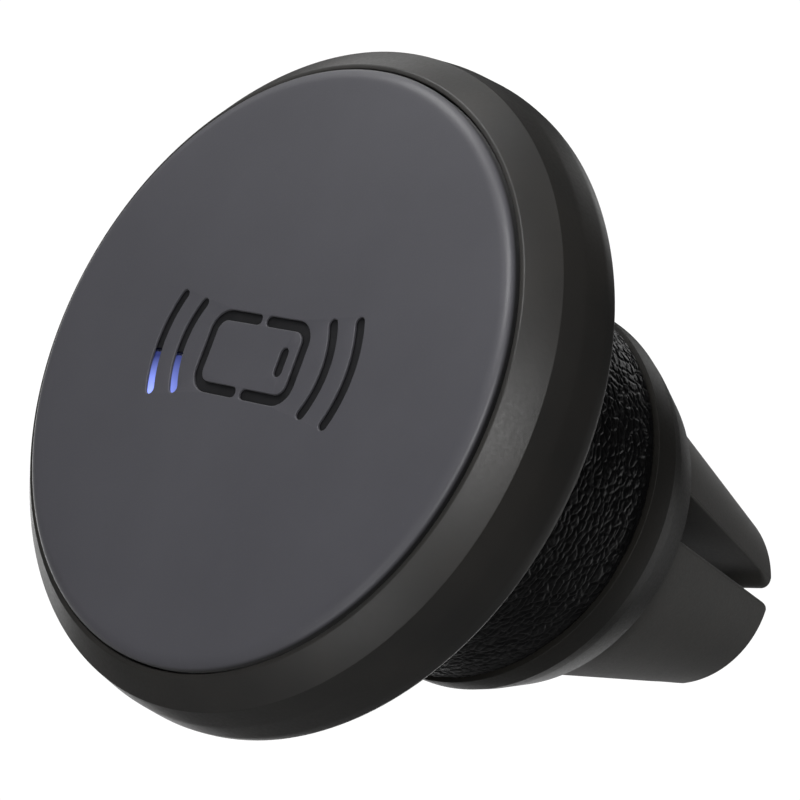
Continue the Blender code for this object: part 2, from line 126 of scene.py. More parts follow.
def lathe_bm(profile, seg, centre=(0.0, 0.0)):
    bm = bmesh.new()
    rows = []
    for r, y in profile:
        if r < 1e-6:
            rows.append([bm.verts.new((centre[0], y, centre[1]))])
        else:
            rows.append([bm.verts.new((centre[0] + r * math.cos(2 * math.pi * k / seg), y,
                                       centre[1] + r * math.sin(2 * math.pi * k / seg)))
                         for k in range(seg)])
    for i, lo in enumerate(rows):
        hi = rows[(i + 1) % len(rows)]
        if len(lo) == 1 and len(hi) == 1:
            continue
        for k in range(seg):
            j = (k + 1) % seg
            if len(lo) == 1:
                bm.faces.new((lo[0], hi[j], hi[k]))
            elif len(hi) == 1:
                bm.faces.new((lo[k], lo[j], hi[0]))
            else:
                bm.faces.new((lo[k], lo[j], hi[j], hi[k]))
    return bm


def lathe(name, profile, seg, mat, centre=(0.0, 0.0), smooth=40.0):
    return from_bmesh(name, lathe_bm(profile, seg, centre), mat, smooth)


def prism(name, outlines, y0, y1, mat):
    bm = bmesh.new()
    for pts in outlines:
        lo = [bm.verts.new((x, y0, z)) for x, z in pts]
        hi = [bm.verts.new((x, y1, z)) for x, z in pts]
        n = len(pts)
        for i in range(n):
            j = (i + 1) % n
            bm.faces.new((lo[i], lo[j], hi[j], hi[i]))
        bm.faces.new(lo[::-1])
        bm.faces.new(hi)
    return from_bmesh(name, bm, mat)


def boolean(ob, tool, operation="DIFFERENCE"):
    """Cuts at once and leaves no modifier or cutter behind."""
    mod = ob.modifiers.new("cut", "BOOLEAN")
    mod.operation, mod.solver, mod.object = operation, "EXACT", tool
    dg = bpy.context.evaluated_depsgraph_get()
    me = bpy.data.meshes.new_from_object(ob.evaluated_get(dg), depsgraph=dg)
    ob.modifiers.clear()
    old = ob.data
    mats = [m for m in old.materials]
    ob.data = me
    me.materials.clear()
    for m in mats:
        me.materials.append(m)
    me.polygons.foreach_set("material_index", [0] * len(me.polygons))
    bpy.data.meshes.remove(old)
    bpy.data.objects.remove(tool, do_unlink=True)
    me.shade_smooth()
    me.set_sharp_from_angle(angle=math.radians(38.0))
    return ob


def place(ob, body, *nodes, slot=None):
    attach(ob, body)
    if nodes:
        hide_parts(*nodes)
    return ob


def turned_by_spin(ob):
    """The head is stored turned on its stem: pieces drawn level are turned with it."""
    ob.data.transform(Matrix.Rotation(math.radians(HEAD_SPIN), 4, "Y"))
    return ob


HEAD_SPIN = 11.0


def polar(radius, degrees):
    a = math.radians(degrees)
    return radius * math.cos(a), radius * math.sin(a)


# ------------------------------------------------------------------- materials
class Nodes:
    def __init__(self, name):
        self.mat = bpy.data.materials.new(name)
        self.mat.use_nodes = True
        self.nt = self.mat.node_tree
        self.bsdf = self.nt.nodes["Principled BSDF"]
        self.coord = self.nt.nodes.new("ShaderNodeTexCoord")

    def new(self, kind, **props):
        n = self.nt.nodes.new(kind)
        for k, v in props.items():
            setattr(n, k, v)
        return n

    def link(self, a, b):
        self.nt.links.new(a, b)

    def noise(self, scale, detail=2.0, rough=0.5, distortion=0.0, vector=None):
        n = self.new("ShaderNodeTexNoise")
        n.inputs["Scale"].default_value = scale
        n.inputs["Detail"].default_value = detail
        n.inputs["Roughness"].default_value = rough
        n.inputs["Distortion"].default_value = distortion
        self.link(vector or self.coord.outputs["Object"], n.inputs["Vector"])
        return n.outputs["Fac"]

    def voronoi(self, scale, feature="F1", rand=1.0, vector=None, out="Distance"):
        n = self.new("ShaderNodeTexVoronoi", feature=feature)
        n.inputs["Scale"].default_value = scale
        n.inputs["Randomness"].default_value = rand
        self.link(vector or self.coord.outputs["Object"], n.inputs["Vector"])
        return n.outputs[out]

    def remap(self, value, lo, hi, out_lo=0.0, out_hi=1.0):
        n = self.new("ShaderNodeMapRange")
        n.inputs["From Min"].default_value = lo
        n.inputs["From Max"].default_value = hi
        n.inputs["To Min"].default_value = out_lo
        n.inputs["To Max"].default_value = out_hi
        self.link(value, n.inputs["Value"])
        return n.outputs["Result"]

    def math(self, op, a, b):
        n = self.new("ShaderNodeMath", operation=op)
        for i, v in enumerate((a, b)):
            if isinstance(v, (int, float)):
                n.inputs[i].default_value = v
            else:
                self.link(v, n.inputs[i])
        return n.outputs[0]

    def mix(self, fac, a, b):
        n = self.new("ShaderNodeMix", data_type="RGBA")
        if isinstance(fac, (int, float)):
            n.inputs[0].default_value = fac
        else:
            self.link(fac, n.inputs[0])
        for i, v in ((6, a), (7, b)):
            if isinstance(v, tuple):
                n.inputs[i].default_value = (*v, 1.0) if len(v) == 3 else v
            else:
                self.link(v, n.inputs[i])
        return n.outputs[2]

    def bump(self, height, strength, distance, normal=None):
        n = self.new("ShaderNodeBump")
        n.inputs["Strength"].default_value = strength
        n.inputs["Distance"].default_value = distance
        self.link(height, n.inputs["Height"])
        if normal is not None:
            self.link(normal, n.inputs["Normal"])
        return n.outputs["Normal"]

    def color(self, v):
        self.set("Base Color", v)

    def set(self, name, v):
        if isinstance(v, (int, float)):
            self.bsdf.inputs[name].default_value = v
        elif isinstance(v, tuple):
            self.bsdf.inputs[name].default_value = (*v, 1.0) if len(v) == 3 else v
        else:
            self.link(v, self.bsdf.inputs[name])


def moulded(name, base, rough, grain=6000.0, grain_depth=0.00002, spread=0.12, spec=0.5,
            warm=0.0, coat=0.0):
    """Moulded plastic: fine spark texture and slight clouding."""
    m = Nodes(name)
    cloud = m.noise(180.0, 3.0, 0.55)
    fine = m.noise(grain, 2.0, 0.6)
    cells = m.voronoi(grain * 0.55)
    dark = tuple(c * (1.0 - spread) for c in base)
    lite = tuple(c * (1.0 + spread) + warm * k for c, k in zip(base, (0.004, 0.002, 0.0)))
    m.color(m.mix(m.remap(cloud, 0.35, 0.65), dark, lite))
    m.set("Roughness", m.remap(fine, 0.3, 0.7, rough - 0.04, rough + 0.05))
    h = m.math("ADD", m.math("MULTIPLY", fine, 0.6), m.math("MULTIPLY", cells, 0.5))
    m.set("Normal", m.bump(h, 0.35, grain_depth))
    m.set("Specular IOR Level", spec)
    if coat:
        m.set("Coat Weight", coat)
        m.set("Coat Roughness", 0.3)
    return m.mat


def soft_touch():
    """Rubberised paint on the phone face: very fine orange peel and dust-like mottling; its side down in the groove
    is painted near-black as shade.
    """
    m = Nodes("soft_touch_face")
    cloud = m.noise(90.0, 4.0, 0.6)
    fine = m.noise(9000.0, 2.0, 0.7)
    speck = m.noise(2600.0, 3.0, 0.65)
    base = m.mix(m.remap(cloud, 0.3, 0.7), (0.0525, 0.0518, 0.0605), (0.0610, 0.0603, 0.0698))
    sep = m.new("ShaderNodeSeparateXYZ")
    m.link(m.coord.outputs["Object"], sep.inputs[0])
    skin = m.mix(m.math("MULTIPLY", m.remap(speck, 0.62, 0.75), 0.25), base, (0.085, 0.084, 0.09))
    # Painted shade: deeper than 0.2–0.4 mm behind the front, the pad's side in the groove is painted near-black.
    m.color(m.mix(m.remap(sep.outputs["Y"], 0.00020, 0.00040), skin, (0.010, 0.010, 0.011)))
    m.set("Roughness", m.remap(fine, 0.3, 0.7, 0.46, 0.56))
    m.set("Normal", m.bump(m.math("ADD", fine, m.math("MULTIPLY", speck, 0.7)), 0.25, 0.000012))
    m.set("Specular IOR Level", 0.36)
    m.set("Coat Weight", 0.22)
    m.set("Coat Roughness", 0.27)
    m.set("Sheen Weight", 0.12)
    m.set("Sheen Roughness", 0.45)
    return m.mat


def dark_plate():
    """Satin plate behind the pierced sign, with a fine brushed lay; its near-black colour also paints the shade in
    the sign's recesses.
    """
    m = Nodes("satin_plate")
    fine = m.noise(1500.0, 3.0, 0.6)
    scratch = m.new("ShaderNodeMapping")
    scratch.inputs["Scale"].default_value = (60.0, 60.0, 2200.0)
    m.link(m.coord.outputs["Object"], scratch.inputs["Vector"])
    lines = m.noise(3.0, 2.0, 0.6, 0.0, scratch.outputs["Vector"])
    # Near-black: the plate's own dark colour, darkened further as painted shade in the sign's recesses.
    m.color(m.mix(m.remap(fine, 0.3, 0.7), (0.0085, 0.0085, 0.0095), (0.012, 0.012, 0.0132)))
    m.set("Roughness", m.remap(lines, 0.35, 0.65, 0.42, 0.55))
    m.set("Normal", m.bump(fine, 0.1, 0.00001))
    m.set("Specular IOR Level", 0.22)
    return m.mat


def accent():
    """Tinted window painted to glow: blue emission with no lamp behind it, brighter towards its lower corner."""
    m = Nodes("accent_window_painted_glow")
    sep = m.new("ShaderNodeSeparateXYZ")
    m.link(m.coord.outputs["Object"], sep.inputs[0])
    # Painted glow: the emission is masked to be brightest at the window's lower outer corner.
    low = m.remap(sep.outputs["Z"], 0.0006, -0.0020, 0.0, 1.0)
    outer = m.remap(sep.outputs["X"], -0.0078, -0.0052, 1.0, 0.30)
    t = m.math("MULTIPLY", low, outer)
    haze = m.noise(1400.0, 2.0, 0.5)
    m.color(m.mix(m.remap(haze, 0.3, 0.7), (0.02, 0.026, 0.10), (0.035, 0.045, 0.16)))
    m.set("Roughness", 0.28)
    m.set("Emission Color", m.mix(t, (0.002, 0.003, 0.02), (0.26, 0.33, 0.92)))
    m.set("Emission Strength", 1.8)
    return m.mat


def leather_mat():
    m = Nodes("black_leather")
    cloud = m.noise(140.0, 4.0, 0.6)
    pores = m.voronoi(5200.0)
    fine = m.noise(7000.0, 3.0, 0.7)
    g = m.new("ShaderNodeNewGeometry")
    point = m.remap(g.outputs["Pointiness"], 0.42, 0.58)
    base = m.mix(m.remap(cloud, 0.3, 0.7), (0.0015, 0.0015, 0.0017), (0.0035, 0.0035, 0.0038))
    m.color(m.mix(point, (0.0025, 0.0025, 0.003), base))
    m.set("Roughness", m.remap(fine, 0.3, 0.7, 0.32, 0.44))
    m.set("Normal", m.bump(m.math("ADD", m.math("MULTIPLY", pores, 0.8), fine), 0.35, 0.00002))
    m.set("Specular IOR Level", 0.22)
    return m.mat


def rubber(name, base, rough=0.62):
    """Matt silicone: dusty bloom in patches, fine bead-blasted skin."""
    m = Nodes(name)
    cloud = m.noise(220.0, 4.0, 0.65)
    fine = m.noise(5200.0, 3.0, 0.7)
    dark = tuple(c * 0.86 for c in base)
    lite = (base[0] * 1.16, base[1] * 1.14, base[2] * 1.10)
    m.color(m.mix(m.remap(cloud, 0.3, 0.7), dark, lite))
    m.set("Roughness", m.remap(fine, 0.3, 0.7, rough - 0.06, rough + 0.06))
    m.set("Normal", m.bump(fine, 0.3, 0.000025))
    m.set("Specular IOR Level", 0.4)
    m.set("Sheen Weight", 0.08)
    m.set("Sheen Roughness", 0.5)
    return m.mat


def metal(name, base, rough, brushed=True, axis=1):
    """Turned or plated metal with fine machining marks."""
    m = Nodes(name)
    sc = m.new("ShaderNodeMapping")
    scale = [90.0, 90.0, 90.0]
    if brushed:
        scale[axis] = 14000.0
    sc.inputs["Scale"].default_value = scale
    m.link(m.coord.outputs["Object"], sc.inputs["Vector"])
    lines = m.noise(1.0, 3.0, 0.6, 0.0, sc.outputs["Vector"])
    cloud = m.noise(300.0, 3.0, 0.6)
    dark = tuple(c * 0.82 for c in base)
    m.color(m.mix(m.remap(cloud, 0.3, 0.7), dark, base))
    m.set("Metallic", 1.0)
    m.set("Roughness", m.remap(lines, 0.3, 0.7, rough * 0.75, rough * 1.3))
    m.set("Normal", m.bump(lines, 0.12, 0.00001))
    return m.mat


MAT = {
    "face": soft_touch(),
    "plate": dark_plate(),
    "accent": accent(),
    "shell": moulded("shell_satin_plastic", (0.0215, 0.0209, 0.0200), 0.40, 5200.0, 0.000012, 0.10, 0.38, 0.4),
    "cover": moulded("cover_spark_plastic", (0.026, 0.0255, 0.025), 0.5, 3200.0, 0.00003, 0.14),
    "carrier": moulded("carrier_plastic", (0.07, 0.07, 0.072), 0.55, 2500.0, 0.00003),
    "adhesive": moulded("acrylic_tape", (0.5, 0.49, 0.46), 0.6, 2500.0, 0.00004),
    "magnet": metal("nickel_magnet", (0.66, 0.63, 0.58), 0.22, False),
    "steel": metal("zinc_steel", (0.52, 0.52, 0.53), 0.32),
    "ball": metal("polished_ball_steel", (0.6, 0.6, 0.61), 0.16),
    "screw": metal("black_oxide_screw", (0.09, 0.088, 0.085), 0.34),
    "liner": moulded("liner_polymer", (0.62, 0.6, 0.54), 0.5, 3000.0, 0.00002),
    "slip": moulded("slip_acetal", (0.5, 0.49, 0.45), 0.42, 3500.0, 0.00001),
    "socket": moulded("socket_acetal", (0.03, 0.03, 0.031), 0.42, 3500.0, 0.00001),
    "ring": moulded("ring_satin_plastic", (0.0172, 0.0164, 0.0148), 0.46, 5200.0, 0.000012, 0.10, 0.23, 0.4),
    "leather": leather_mat(),
    "rubber": rubber("clip_silicone", (0.0435, 0.0408, 0.0368)),
}


# ----------------------------------------------------------------- sign outlines
STROKE = 0.65
BRIDGE = 1.0


def stroke_outline(path, width, cap_steps=6):
    h = 0.5 * width
    n = len(path)
    left, right = [], []
    for i in range(n):
        p = Vector(path[i])
        t = (Vector(path[min(i + 1, n - 1)]) - Vector(path[max(i - 1, 0)])).normalized()
        nrm = Vector((-t.y, t.x))
        left.append(p + nrm * h)
        right.append(p - nrm * h)

    def cap(centre, start):
        base = math.atan2(start.y - centre.y, start.x - centre.x)
        return [Vector((centre.x + h * math.cos(base + math.pi * k / cap_steps),
                        centre.y + h * math.sin(base + math.pi * k / cap_steps)))
                for k in range(1, cap_steps)]

    out = right + cap(Vector(path[-1]), right[-1]) + left[::-1] + cap(Vector(path[0]), left[0])
    return [(p.x, p.y) for p in out]


def sign_paths():
    paths = []
    for radius, half in ((6.0, 26.0), (7.9, 22.0)):
        for side in (0.0, 180.0):
            paths.append([polar(radius, side - half + 2 * half * i / 20) for i in range(21)])
    hw, hh, cr = 3.8, 2.2, 1.0
    for side in (1, -1):
        path = [(side * 0.5 * BRIDGE, hh)]
        for i in range(9):
            a = math.radians(90 - 90 * i / 8)
            path.append((side * (hw - cr + cr * math.cos(a)), hh - cr + cr * math.sin(a)))
        for i in range(9):
            a = math.radians(-90 * i / 8)
            path.append((side * (hw - cr + cr * math.cos(a)), -hh + cr + cr * math.sin(a)))
        path.append((side * 0.5 * BRIDGE, -hh))
        paths.append(path)
    paths.append([(2.5, -0.55), (2.5, 0.0), (2.5, 0.55)])
    return paths


def rounded_rect(hw, hh, corner, steps=8):
    pts = []
    for sx, sz, a0 in ((1, 1, 0), (-1, 1, 90), (-1, -1, 180), (1, -1, 270)):
        for i in range(steps + 1):
            a = math.radians(a0 + 90.0 * i / steps)
            pts.append((sx * (hw - corner) + corner * math.cos(a),
                        sz * (hh - corner) + corner * math.sin(a)))
    return pts


# ------------------------------------------------------------------------ head
def face_pad():
    """Pad with a rounded rim; the sign is pierced with a small rounding on its lips."""
    lo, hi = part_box("face_pad")
    R = 17.95
    y0, y1 = lo.y / MM, hi.y / MM
    edge, fall, lip, ceil = 0.85, 0.42, 0.06, 0.15
    bm = bmesh.new()

    def loop(pts, y):
        vs = [bm.verts.new((x, y, z)) for x, z in pts]
        es = [bm.edges.new((vs[i], vs[(i + 1) % len(vs)])) for i in range(len(vs))]
        return vs, es

    def bridge(a, b):
        n = len(a)
        for i in range(n):
            j = (i + 1) % n
            bm.faces.new((a[i], a[j], b[j], b[i]))

    def circle(r):
        return [(r * math.cos(2 * math.pi * k / SEG), r * math.sin(2 * math.pi * k / SEG)) for k in range(SEG)]

    front_edges, back_edges = [], []
    outer, es = loop(circle(R - edge - 0.25), y0)
    front_edges += es
    last = outer
    steps = 4 * FINE
    for k in range(steps + 1):
        a = 0.5 * math.pi * k / steps
        vs, _ = loop(circle(R - edge + edge * math.sin(a)), y0 + fall - fall * math.cos(a))
        bridge(last, vs)
        last = vs
    vs, _ = loop(circle(R), y1 - 0.08)
    bridge(last, vs)
    rim, rim_edges = loop(circle(R - 0.08), y1)
    bridge(vs, rim)
    # pocket behind the sign
    pocket_top, pt_edges = loop(rounded_rect(9.6, 3.6, 1.2), ceil)
    pocket_rim, pr_edges = loop(rounded_rect(9.6, 3.6, 1.2), y1)
    bridge(pocket_top, pocket_rim)
    ceiling_edges = list(pt_edges)
    for path in sign_paths():
        prev, es = loop(stroke_outline(path, STROKE + 2 * lip), y0)
        front_edges += es
        for k in range(1, 4):
            a = 0.5 * math.pi * k / 3
            vs, _ = loop(stroke_outline(path, STROKE + 2 * lip * (1 - math.sin(a))), y0 + lip - lip * math.cos(a))
            bridge(prev, vs)
            prev = vs
        vs, es = loop(stroke_outline(path, STROKE), ceil)
        bridge(prev, vs)
        ceiling_edges += es
    bmesh.ops.triangle_fill(bm, use_beauty=True, edges=front_edges)
    bmesh.ops.triangle_fill(bm, use_beauty=True, edges=ceiling_edges)
    bmesh.ops.triangle_fill(bm, use_beauty=True, edges=rim_edges + pr_edges)
    ob = from_bmesh("soft_face_pad", bm, MAT["face"], 50.0)
    level = ob.modifiers.new("flat_front", "WEIGHTED_NORMAL")
    level.keep_sharp = True
    level.weight = 100
    turned_by_spin(ob)
    place(ob, "head", "face_pad", slot="soft_pad")


def head_shell():
    lo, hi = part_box("head_shell")
    R = 20.5
    rear = hi.y / MM
    pts = [(0.0, 2.1), (0.0, 1.4), (17.96, 1.4, 0.1), (18.06, 0.5, 0.07), (18.34, 0.5, 0.16),
           (19.85, 1.87, 0.12), (20.28, 3.4, 2.5), (R, 5.0, 1.5), (R - 0.06, rear, 0.55),
           (18.75, rear, 0.12), (18.7, 2.1)]
    ob = lathe("moulded_head_shell", rounded(pts, FINE + 2), SEG, MAT["shell"])
    place(ob, "head", "head_shell", slot="shell_plastic")


def emblem():
    w, h = 9.3, 3.3
    nx, nz = -5.0, -0.45
    plate = [(nx, -h), (w - 0.6, -h), (w, -h + 0.6), (w, h - 0.6), (w - 0.6, h),
             (-w + 0.6, h), (-w, h - 0.6), (-w, nz), (nx, nz)]
    ob = prism("satin_emblem_plate", [plate], 0.22, 0.62, MAT["plate"])
    bev(ob, 0.05)
    turned_by_spin(ob)
    place(ob, "head", "emblem_plate", slot="dark_plate")
    gap = 0.2
    win = [(nx - gap, -h), (nx - gap, nz - gap), (-w, nz - gap), (-w, -h + 0.6), (-w + 0.6, -h)]
    # Blue window whose glow is painted as emission; no lamp lights it.
    ob = prism("painted_glow_window", [win], 0.22, 0.62, MAT["accent"])
    bev(ob, 0.05)
    turned_by_spin(ob)
    place(ob, "head", "accent_window", slot="accent_window")


def bev(ob, width, segments=2, angle=35.0):
    mod = ob.modifiers.new("edge", "BEVEL")
    mod.width = width * MM
    mod.segments = segments
    mod.limit_method = "ANGLE"
    mod.angle_limit = math.radians(angle)
    return mod


SCREW_R, SCREW_ANGLES = 15.7, (90.0, 210.0, 330.0)


def rear_cover():
    pts = [(1.7, 5.05), (18.3, 5.05), (18.4, 5.15), (18.4, 6.1, 0.25),
           (12.6, 6.1, 0.08), (12.45, 5.96, 0.06), (12.05, 5.96, 0.06), (11.9, 6.1, 0.08),
           (8.5, 6.1, 0.2), (7.6, 6.45, 0.15), (1.7, 6.45, 0.1)]
    ob = lathe("textured_rear_cover", rounded(pts), SEG, MAT["cover"])
    holes, sinks = [], []
    for a in SCREW_ANGLES:
        x, z = polar(SCREW_R, a)
        holes.append([(x + 1.05 * math.cos(t), z + 1.05 * math.sin(t)) for t in np.linspace(0, 2 * math.pi, 33)[:-1]])
        sinks.append([(x + 1.95 * math.cos(t), z + 1.95 * math.sin(t)) for t in np.linspace(0, 2 * math.pi, 49)[:-1]])
    boolean(ob, prism("tool", holes, 4.0, 8.0, MAT["cover"]))
    boolean(ob, prism("tool", sinks, 5.6, 8.0, MAT["cover"]))
    turned_by_spin(ob)
    place(ob, "head", "rear_cover", slot="cover_plastic")


def cross_recess(ob, centre, y_top, depth, arm, width):
    """Cuts a cross-head driver recess into a screw head facing +Y."""
    x, z = centre
    a, b = arm, width * 0.5
    order = []
    for k in range(4):
        c, s = math.cos(-k * math.pi / 2), math.sin(-k * math.pi / 2)
        for px, pz in ((b, b), (a * 0.92, b), (a, 0.0), (a * 0.92, -b)):
            order.append((x + px * c - pz * s, z + px * s + pz * c))
    bm = bmesh.new()
    top = [bm.verts.new((px, y_top + 0.2, pz)) for px, pz in order]
    low = [bm.verts.new((x + (px - x) * 0.55, y_top - depth, z + (pz - z) * 0.55)) for px, pz in order]
    n = len(order)
    for i in range(n):
        j = (i + 1) % n
        bm.faces.new((top[i], top[j], low[j], low[i]))
    bm.faces.new(top)
    bm.faces.new(low[::-1])
    tool = from_bmesh("tool", bm, MAT["screw"])
    boolean(ob, tool)


def cover_screws():
    for i, a in enumerate(SCREW_ANGLES):
        c = polar(SCREW_R, a)
        pts = [(0.0, 2.9), (0.55, 2.9), (0.7, 3.1), (0.7, 5.65), (1.65, 5.65, 0.05), (1.65, 5.9, 0.12), (1.35, 6.08, 0.1), (0.0, 6.1)]
        ob = lathe(f"cross_head_screw_{i + 1}", rounded(pts), 48, MAT["screw"], c)
        cross_recess(ob, c, 6.1, 0.36, 1.0, 0.36)
        turned_by_spin(ob)
        place(ob, "head", f"cover_screw_{i + 1}", slot="screw_steel")


# ------------------------------------------------------------------ ball joint
def ball_joint():
    bore = 1.55
    pts = [(bore, 6.75), (5.5, 6.75, 0.12), (5.5, 7.5, 0.15), (5.0, 7.75, 0.2), (3.9, 7.95, 0.5),
           (3.2, 8.9, 0.6), (3.2, 11.5, 0.1), (2.9, 11.8, 0.05), (1.8, 11.8), (1.8, 15.4), (0.0, 15.4),
           (0.0, 11.2), (bore, 11.2)]
    ob = lathe("turned_ball_stem", rounded(pts), SEG_IN, MAT["steel"])
    flats = []
    for s in (1, -1):
        flats.append([(s * 4.7, -8), (s * 9, -8), (s * 9, 8), (s * 4.7, 8)][::s])
    boolean(ob, prism("tool", flats, 6.0, 7.9, MAT["steel"]))
    place(ob, "ball", "ball_stem", slot="plated_steel")

    prof = [(0.0, 15.8), (2.1, 15.8), (2.1, 12.25), (2.25, 12.1), (3.3, 12.1)]
    a0 = math.asin(-4.85 / 6.0)
    for k in range(1, 40):
        a = a0 + (0.5 * math.pi - a0) * k / 40
        prof.append((6.0 * math.cos(a), 17.0 + 6.0 * math.sin(a)))
    prof.append((0.0, 23.0))
    ob = lathe("polished_joint_ball", prof, SEG_IN, MAT["ball"])
    place(ob, "ball", "joint_ball", slot="polished_steel")

    prof = []
    for k in range(25):
        a = math.radians(-10 + 65.0 * k / 24)
        prof.append((6.1 * math.cos(a), 17.0 + 6.1 * math.sin(a)))
    for k in range(25):
        a = math.radians(55 - 65.0 * k / 24)
        prof.append((6.4 * math.cos(a), 17.0 + 6.4 * math.sin(a)))
    ob = lathe("spherical_liner", prof, SEG_IN, MAT["liner"])
    place(ob, "liner", "ball_liner", slot="liner_polymer")

    prof = []
    r = 6.55
    s0, s1 = math.asin((20.9 - 17.0) / r), math.asin((14.0 - 17.0) / r)
    for k in range(21):
        a = s0 + (s1 - s0) * k / 20
        prof.append((r * math.cos(a), 17.0 + r * math.sin(a)))
    prof += [(6.3, 14.0), (8.0, 15.7), (8.0, 20.9)]
    ob = lathe("slotted_ball_socket", prof, SEG_IN, MAT["socket"])
    h = 0.4
    cross = [(h, h), (h, 12), (-h, 12), (-h, h), (-12, h), (-12, -h), (-h, -h), (-h, -12), (h, -12),
             (h, -h), (12, -h), (12, h)]
    boolean(ob, prism("tool", [cross], 12.0, 19.3, MAT["socket"]))
    place(ob, "base", "ball_socket", slot="socket_acetal")


# --------------------------------------------------------------------- collar
def collar_nut():
    pts = [(7.6, 12.1, 0.12), (12.3, 12.1, 0.12), (12.6, 12.4, 0.1), (12.6, 12.7, 0.05), (11.85, 12.7), (11.85, 21.75, 0.1),
           (9.95, 21.75, 0.1), (9.95, 16.2), (9.5, 16.2), (9.5, 13.0), (6.7, 13.0, 0.1)]
    ob = lathe("collar_nut_shell", rounded(pts), SEG, MAT["shell"])
    place(ob, "collar", "collar_nut", slot="shell_plastic")


def value_noise(u, v, nu, nv, rng, wrap_u=True):
    """Smooth lattice noise, periodic in u."""
    grid = rng.random((nv + 3, nu))
    x, y = u * nu, v * nv
    xi, yi = np.floor(x).astype(int), np.floor(y).astype(int)
    fx, fy = x - xi, y - yi
    fx, fy = fx * fx * (3 - 2 * fx), fy * fy * (3 - 2 * fy)
    x0, x1 = xi % nu, (xi + 1) % nu
    y0, y1 = np.clip(yi, 0, nv + 2), np.clip(yi + 1, 0, nv + 2)
    return ((grid[y0, x0] * (1 - fx) + grid[y0, x1] * fx) * (1 - fy)
            + (grid[y1, x0] * (1 - fx) + grid[y1, x1] * fx) * fy)


def grain(u, v, nu, nv, rng):
    """Pebbles: distance between the two nearest of a jittered lattice of points, periodic in u."""
    jx = rng.random((nv + 6, nu))
    jy = rng.random((nv + 6, nu))
    tall = rng.random((nv + 6, nu))
    x, y = u * nu, v * nv + 3
    xi, yi = np.floor(x).astype(int), np.floor(y).astype(int)
    d1 = np.full(u.shape, 9.0)
    d2 = np.full(u.shape, 9.0)
    t1 = np.zeros(u.shape)
    for dy in (-2, -1, 0, 1, 2):
        for dx in (-2, -1, 0, 1, 2):
            cx, cy = xi + dx, np.clip(yi + dy, 0, nv + 5)
            w = cx % nu
            px = cx + 0.1 + 0.8 * jx[cy, w]
            py = cy + 0.1 + 0.8 * jy[cy, w]
            d = np.hypot(x - px, y - py)
            closer = d < d1
            d2 = np.where(closer, d1, np.minimum(d2, d))
            t1 = np.where(closer, tall[cy, w], t1)
            d1 = np.where(closer, d, d1)
    return d2 - d1, t1


def leather_sleeve():
    """Leather strip wound round the collar nut, its pebbled grain in the mesh itself."""
    rng = np.random.default_rng(7)
    nu = 1180
    nv = 140
    y0, y1 = 12.75, 22.08
    R = 12.70
    u = (np.arange(nu) / nu)[None, :].repeat(nv, 0)
    v = np.linspace(0, 1, nv)[:, None].repeat(nu, 1)
    warp_u = (value_noise(u, v, 90, 12, rng) - 0.5) * 0.006
    warp_v = (value_noise(u, v, 90, 12, rng) - 0.5) * 0.05
    uu, vv = (u + warp_u) % 1.0, np.clip(v + warp_v, 0, 1)
    gap, tall = grain(uu, vv, 112, 16, rng)
    gap2, tall2 = grain((uu + 0.37) % 1.0, vv, 230, 34, rng)
    big = np.clip(gap / 0.42, 0, 1)
    big = big * big * (3 - 2 * big)
    small = np.clip(gap2 / 0.5, 0, 1)
    # long creases round the sleeve where the strip was stretched
    crease = value_noise(u, v, 60, 26, rng)
    crease = np.clip(1 - np.abs(crease - 0.5) * 14, 0, 1) * np.clip(value_noise(u, v, 11, 3, rng) * 2.2 - 0.9, 0, 1)
    soft = value_noise(u, v, 26, 5, rng) - 0.5
    h = 0.085 * big * (0.55 + 0.45 * tall) + 0.03 * small * (0.5 + 0.5 * tall2) - 0.05 * crease + 0.05 * soft
    # rolled edges
    d_edge = np.minimum(v, 1 - v) * (y1 - y0)
    roll = np.clip(d_edge / 0.35, 0, 1)
    drop = 0.24 * (1 - np.sqrt(1 - (1 - roll) ** 2))
    # butt seam on the hidden side
    seam = np.abs(((u - 0.62 + 0.5) % 1.0) - 0.5) * 2 * math.pi * R
    notch = 0.28 * np.exp(-(seam / 0.16) ** 2)
    pull = 0.05 * np.exp(-(seam / 0.8) ** 2)
    r = R + h * (0.35 + 0.65 * roll) - drop - notch + pull
    r = np.clip(r, 12.1, 12.88)
    ang = u * 2 * math.pi
    co = np.stack([r * np.cos(ang), y0 + v * (y1 - y0), r * np.sin(ang)], -1).reshape(-1, 3)
    inner = np.stack([12.05 * np.cos(ang[0]), np.full(nu, y0 + 0.05), 12.05 * np.sin(ang[0])], -1)
    inner2 = np.stack([12.05 * np.cos(ang[0]), np.full(nu, y1 - 0.05), 12.05 * np.sin(ang[0])], -1)
    verts = np.vstack([co, inner2, inner]) * MM
    rows = nv + 2
    idx = np.arange(rows * nu).reshape(rows, nu)
    a = idx
    b = np.roll(idx, -1, 1)
    c = np.roll(b, -1, 0)
    d = np.roll(a, -1, 0)
    faces = np.stack([a, d, c, b], -1).reshape(-1, 4)
    me = bpy.data.meshes.new("leather_sleeve_grain")
    me.vertices.add(len(verts))
    me.vertices.foreach_set("co", verts.astype(np.float32).ravel())
    me.loops.add(faces.size)
    me.loops.foreach_set("vertex_index", faces.astype(np.int32).ravel())
    me.polygons.add(len(faces))
    me.polygons.foreach_set("loop_start", (np.arange(len(faces)) * 4).astype(np.int32))
    me.update(calc_edges=True)
    bm = bmesh.new()
    bm.from_mesh(me)
    if bm.calc_volume(signed=True) < 0:
        bmesh.ops.reverse_faces(bm, faces=bm.faces)
    bm.to_mesh(me)
    bm.free()
    me.materials.append(MAT["leather"])
    me.shade_smooth()
    ob = bpy.data.objects.new("leather_collar_wrap", me)
    bpy.context.scene.collection.objects.link(ob)
    place(ob, "collar", "leather_sleeve", slot="leather")


